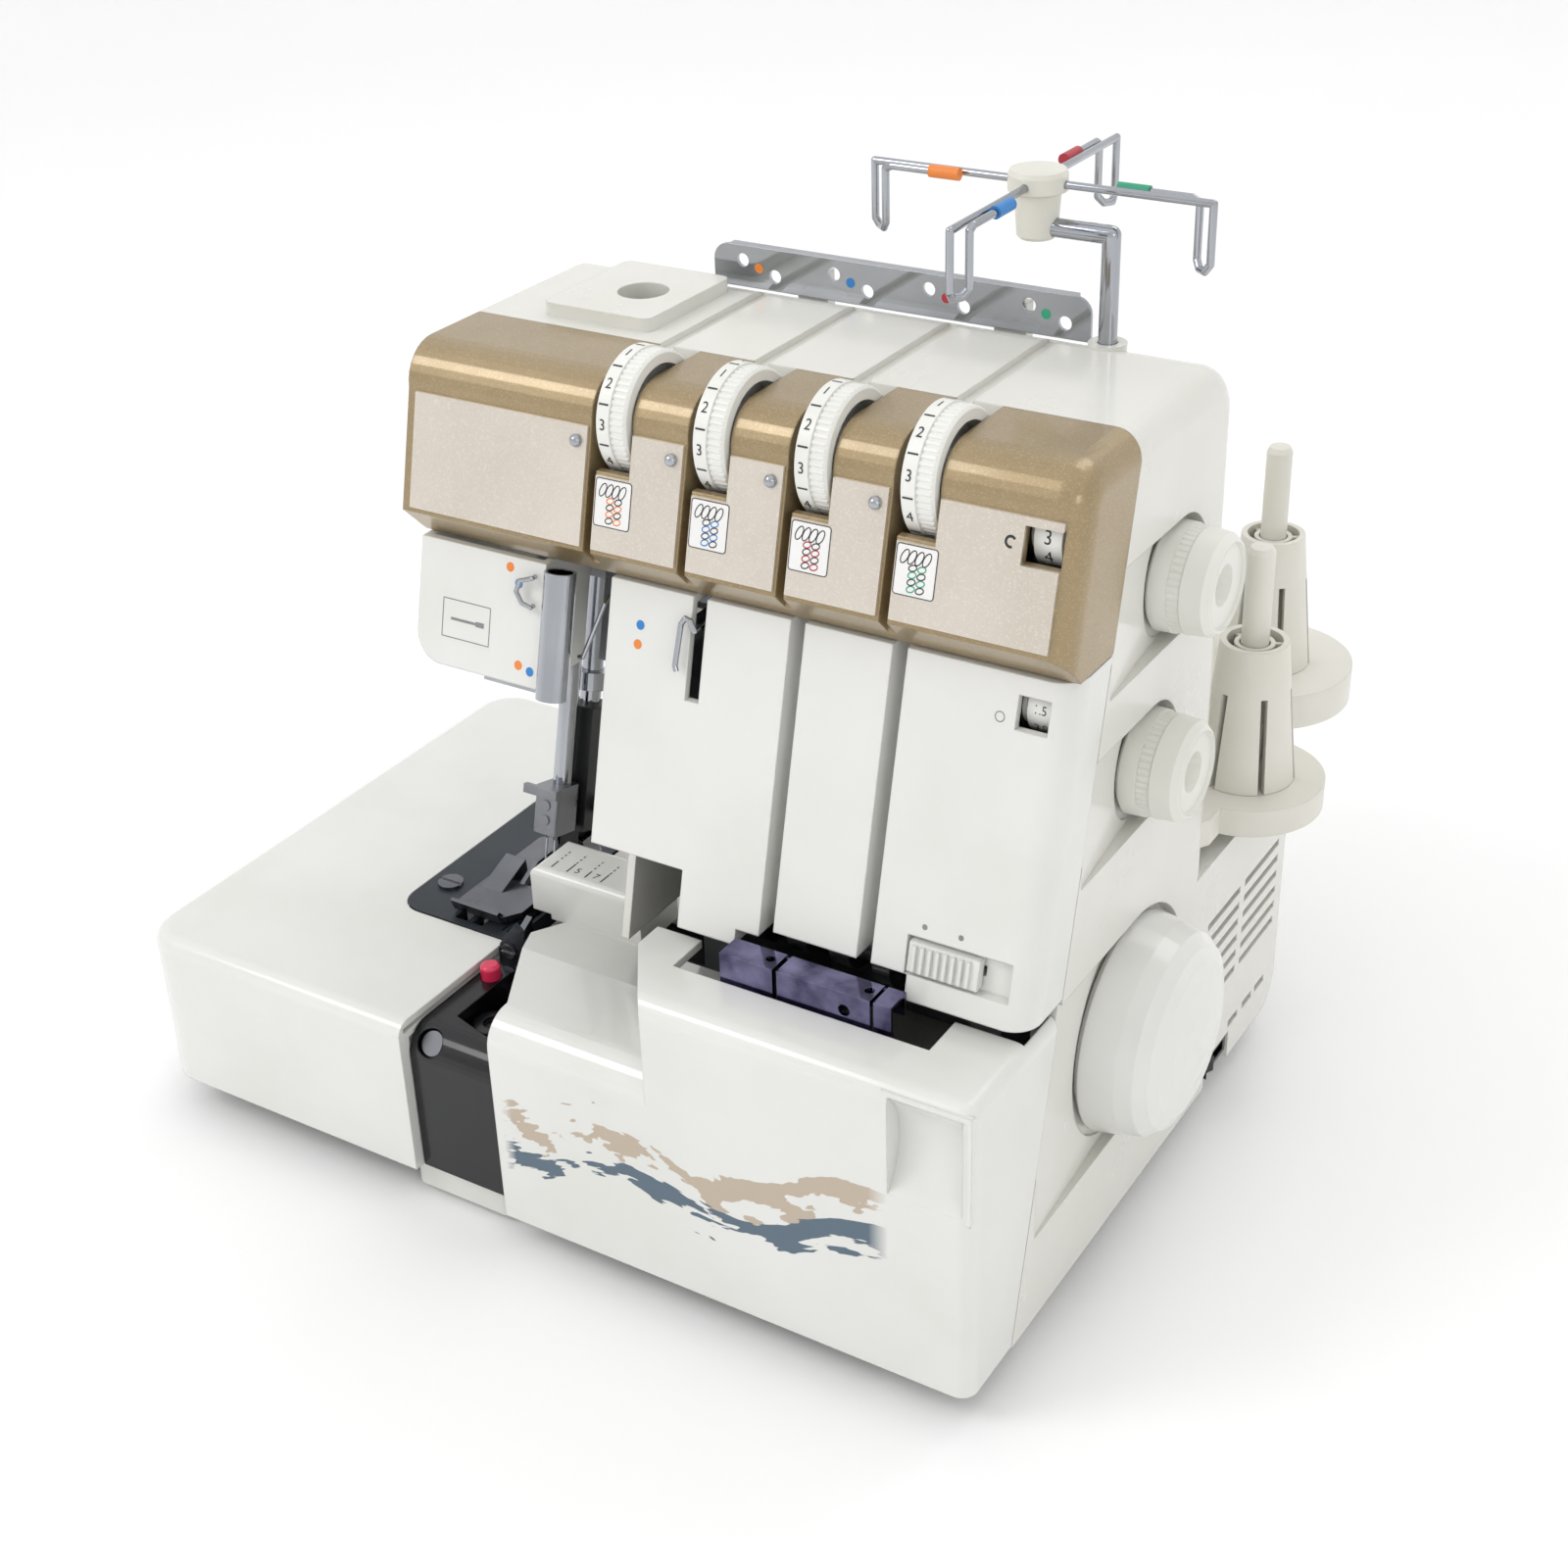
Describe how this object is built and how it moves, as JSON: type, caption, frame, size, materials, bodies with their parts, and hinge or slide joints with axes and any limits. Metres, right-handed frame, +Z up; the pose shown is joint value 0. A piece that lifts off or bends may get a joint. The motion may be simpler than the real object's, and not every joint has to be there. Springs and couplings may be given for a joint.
{
  "type": "serger overlock machine",
  "caption": "Overlock sewing machine with leaning front, top tension dials, hinged looper cover, cloth table, side handwheel, spool stand and telescopic thread tree.",
  "frame": {"origin": "on the bench, midway across the whole machine's width and depth", "axes": "+X to the handwheel side, +Y to the back, +Z up; the sewer sits on the -Y side"},
  "size_m": [0.323, 0.296, 0.3054],
  "materials": {
    "casing_white": "glossy moulded ABS",
    "casing_side": "glossy moulded ABS",
    "gold_trim": "metallic champagne lacquer on ABS",
    "pearl_plates": "pearl lacquer",
    "dial_white": "moulded, satin",
    "spool_white": "moulded, satin",
    "black_plastic": "glossy black",
    "plate_grey": "satin dark grey coating",
    "frame_alloy": "die-cast",
    "steel": "ground",
    "chrome": "bright plated",
    "rubber": "moulded",
    "red_button": "moulded",
    "sleeve_colours": "orange, blue, red and green dipped sleeves",
    "bronze": "sintered bronze",
    "motor_black": "black paint",
    "pan_grey": "moulded"
  },
  "bodies": {
    "machine": {"base_pan": "pan_grey", "rubber_feet": "rubber", "rear_casing": "casing_side", "tension_panel": "gold_trim", "fascia_plates": "pearl_plates", "front_cover": "casing_white", "face_plate": "casing_white", "knife_housing": "black_plastic", "cast_frame": "frame_alloy", "shaft_bushes": "bronze", "motor": "motor_black", "belts": "rubber", "needle_plate": "plate_grey", "presser_leaf": "steel", "lower_knife": "plate_grey", "screws": "steel", "tension_units": "steel", "power_inlet": "black_plastic", "looper_thread_guide": "chrome", "top_thread_guide": "chrome", "head_thread_guides": "chrome", "spool_stand": "spool_white"},
    "drive_shaft": {"handwheel": "casing_white", "main_shaft": "steel"},
    "motor_rotor": {"motor_pulley": "steel"},
    "needle_drive": {"needle_bar": "chrome", "needle_clamp": "steel", "needles": "chrome"},
    "presser": {"presser_bar": "chrome", "foot_holder": "black_plastic"},
    "foot": {"presser_foot": "steel"},
    "lifter": {"presser_lifter": "steel"},
    "pressure_dial": {"pressure_screw": "steel"},
    "dial_1": {"tension_dial_left_needle": "dial_white"},
    "dial_2": {"tension_dial_right_needle": "dial_white"},
    "dial_3": {"tension_dial_upper_looper": "dial_white"},
    "dial_4": {"tension_dial_lower_looper": "dial_white"},
    "stitch_knob": {"stitch_length_knob": "dial_white"},
    "stitch_drum": {"stitch_length_drum": "dial_white"},
    "differential_knob": {"differential_knob": "dial_white"},
    "differential_drum": {"differential_drum": "dial_white"},
    "hem_slider": {"hem_slider": "casing_white"},
    "hinge_pins": {"cover_pins": "steel"},
    "looper_cover": {"looper_cover": "casing_white"},
    "cloth_table": {"side_cover": "casing_white"},
    "thread_tree": {"tree_pole": "chrome", "tree_hub": "spool_white", "tree_arms": "chrome", "arm_sleeves": "sleeve_colours"},
    "cone_1": {"spool_cone_front_right": "spool_white"},
    "cone_2": {"spool_cone_front_left": "spool_white"},
    "cone_3": {"spool_cone_rear_right": "spool_white"},
    "cone_4": {"spool_cone_rear_left": "spool_white"},
    "knife_button": {"knife_release_button": "red_button"},
    "knife_knob": {"knife_knob": "black_plastic"},
    "upper_knife": {"upper_knife": "steel"},
    "upper_looper": {"upper_looper": "chrome"},
    "lower_looper": {"lower_looper": "chrome"},
    "feed": {"feed_dogs": "steel"},
    "power_switch": {"power_switch": "black_plastic"}
  },
  "joints": [
    {"name": "handwheel_turn", "type": "hinge", "parent": "machine", "child": "drive_shaft", "pos_m": [0.14, -0.048, 0.075], "axis": [1, 0, 0], "continuous": true},
    {"name": "motor_turn", "type": "hinge", "parent": "machine", "child": "motor_rotor", "pos_m": [0.1, 0.03, 0.047], "axis": [1, 0, 0], "continuous": true},
    {"name": "needle_stroke", "type": "slide", "parent": "machine", "child": "needle_drive", "axis": [0, 0.2475, 0.9689], "range_m": [0, 0.027]},
    {"name": "presser_lift", "type": "slide", "parent": "machine", "child": "presser", "axis": [0, 0.2475, 0.9689], "range_m": [0, 0.006], "deforming": ["presser_leaf"]},
    {"name": "foot_tilt", "type": "hinge", "parent": "presser", "child": "foot", "pos_m": [-0.0605, -0.0447, 0.07676], "axis": [1, 0, 0], "range_deg": [-3, 0]},
    {"name": "lifter_turn", "type": "hinge", "parent": "machine", "child": "lifter", "pos_m": [-0.046, -0.009, 0.161], "axis": [1, 0, 0], "range_deg": [0, 32]},
    {"name": "pressure_turn", "type": "hinge", "parent": "machine", "child": "pressure_dial", "pos_m": [-0.028, -0.032, 0.25], "axis": [0, 0, 1], "range_deg": [-180, 180]},
    {"name": "stitch_length_turn", "type": "hinge", "parent": "machine", "child": "stitch_knob", "pos_m": [0.14, -0.03, 0.209], "axis": [1, 0, 0], "range_deg": [-150, 150]},
    {"name": "stitch_drum_turn", "type": "hinge", "parent": "machine", "child": "stitch_drum", "pos_m": [0.13, -0.0824, 0.2406], "axis": [1, 0, 0], "range_deg": [-160, 160]},
    {"name": "differential_turn", "type": "hinge", "parent": "machine", "child": "differential_knob", "pos_m": [0.14, -0.0436, 0.159], "axis": [1, 0, 0], "range_deg": [-150, 150]},
    {"name": "differential_drum_turn", "type": "hinge", "parent": "machine", "child": "differential_drum", "pos_m": [0.13, -0.0854, 0.194], "axis": [1, 0, 0], "range_deg": [-160, 160]},
    {"name": "hem_slide", "type": "slide", "parent": "machine", "child": "hem_slider", "axis": [1, 0, 0], "range_m": [0, 0.008]},
    {"name": "cover_shift", "type": "slide", "parent": "machine", "child": "hinge_pins", "axis": [1, 0, 0], "range_m": [0, 0.006]},
    {"name": "cover_open", "type": "hinge", "parent": "hinge_pins", "child": "looper_cover", "pos_m": [0.06, -0.138, 0.014], "axis": [1, 0, 0], "range_deg": [0, 80]},
    {"name": "table_pull", "type": "slide", "parent": "machine", "child": "cloth_table", "axis": [-1, 0, 0], "range_m": [0, 0.06]},
    {"name": "tree_raise", "type": "slide", "parent": "machine", "child": "thread_tree", "axis": [0, 0, 1], "range_m": [0, 0.145]},
    {"name": "button_press", "type": "slide", "parent": "machine", "child": "knife_button", "axis": [0, 0, -1], "range_m": [0, 0.003], "stiffness_N_per_m": 300},
    {"name": "knife_knob_turn", "type": "hinge", "parent": "machine", "child": "knife_knob", "pos_m": [-0.037, -0.122, 0.05], "axis": [0, 0, 1], "range_deg": [0, 180]},
    {"name": "upper_knife_swing", "type": "hinge", "parent": "machine", "child": "upper_knife", "pos_m": [-0.045, -0.0885, 0.034], "axis": [1, 0, 0], "range_deg": [-6, 0]},
    {"name": "upper_looper_swing", "type": "hinge", "parent": "machine", "child": "upper_looper", "pos_m": [-0.026, -0.06, 0.038], "axis": [0, 1, 0], "range_deg": [-4, 4]},
    {"name": "lower_looper_swing", "type": "hinge", "parent": "machine", "child": "lower_looper", "pos_m": [-0.008, -0.06, 0.027], "axis": [0, 1, 0], "range_deg": [-4, 4]},
    {"name": "feed_shift", "type": "slide", "parent": "machine", "child": "feed", "axis": [0, 1, 0], "range_m": [-0.002, 0.002]},
    {"name": "switch_rock", "type": "hinge", "parent": "machine", "child": "power_switch", "pos_m": [0.137, 0.0174, 0.016], "axis": [0, 0, 1], "range_deg": [-7, 7]},
    {"name": "dial_1_turn", "type": "hinge", "parent": "machine", "child": "dial_1", "pos_m": [0.0027, -0.0775, 0.248], "axis": [1, 0, 0], "range_deg": [-120, 120]},
    {"name": "cone_1_pull", "type": "slide", "parent": "machine", "child": "cone_1", "axis": [0, 0, 1], "range_m": [0, 0.082]},
    {"name": "dial_2_turn", "type": "hinge", "parent": "machine", "child": "dial_2", "pos_m": [0.0336, -0.0775, 0.248], "axis": [1, 0, 0], "range_deg": [-120, 120]},
    {"name": "cone_2_pull", "type": "slide", "parent": "machine", "child": "cone_2", "axis": [0, 0, 1], "range_m": [0, 0.082]},
    {"name": "dial_3_turn", "type": "hinge", "parent": "machine", "child": "dial_3", "pos_m": [0.0645, -0.0775, 0.248], "axis": [1, 0, 0], "range_deg": [-120, 120]},
    {"name": "cone_3_pull", "type": "slide", "parent": "machine", "child": "cone_3", "axis": [0, 0, 1], "range_m": [0, 0.082]},
    {"name": "dial_4_turn", "type": "hinge", "parent": "machine", "child": "dial_4", "pos_m": [0.0954, -0.0775, 0.248], "axis": [1, 0, 0], "range_deg": [-120, 120]},
    {"name": "cone_4_pull", "type": "slide", "parent": "machine", "child": "cone_4", "axis": [0, 0, 1], "range_m": [0, 0.082]}
  ],
  "couplings": [
    {"joint": "motor_turn", "follows": "handwheel_turn", "ratio": 2.143},
    {"joint": "lifter_turn", "follows": "presser_lift", "rad_per_m": 87.266},
    {"joint": "stitch_drum_turn", "follows": "stitch_length_turn", "ratio": 1},
    {"joint": "differential_drum_turn", "follows": "differential_turn", "ratio": 1}
  ]
}
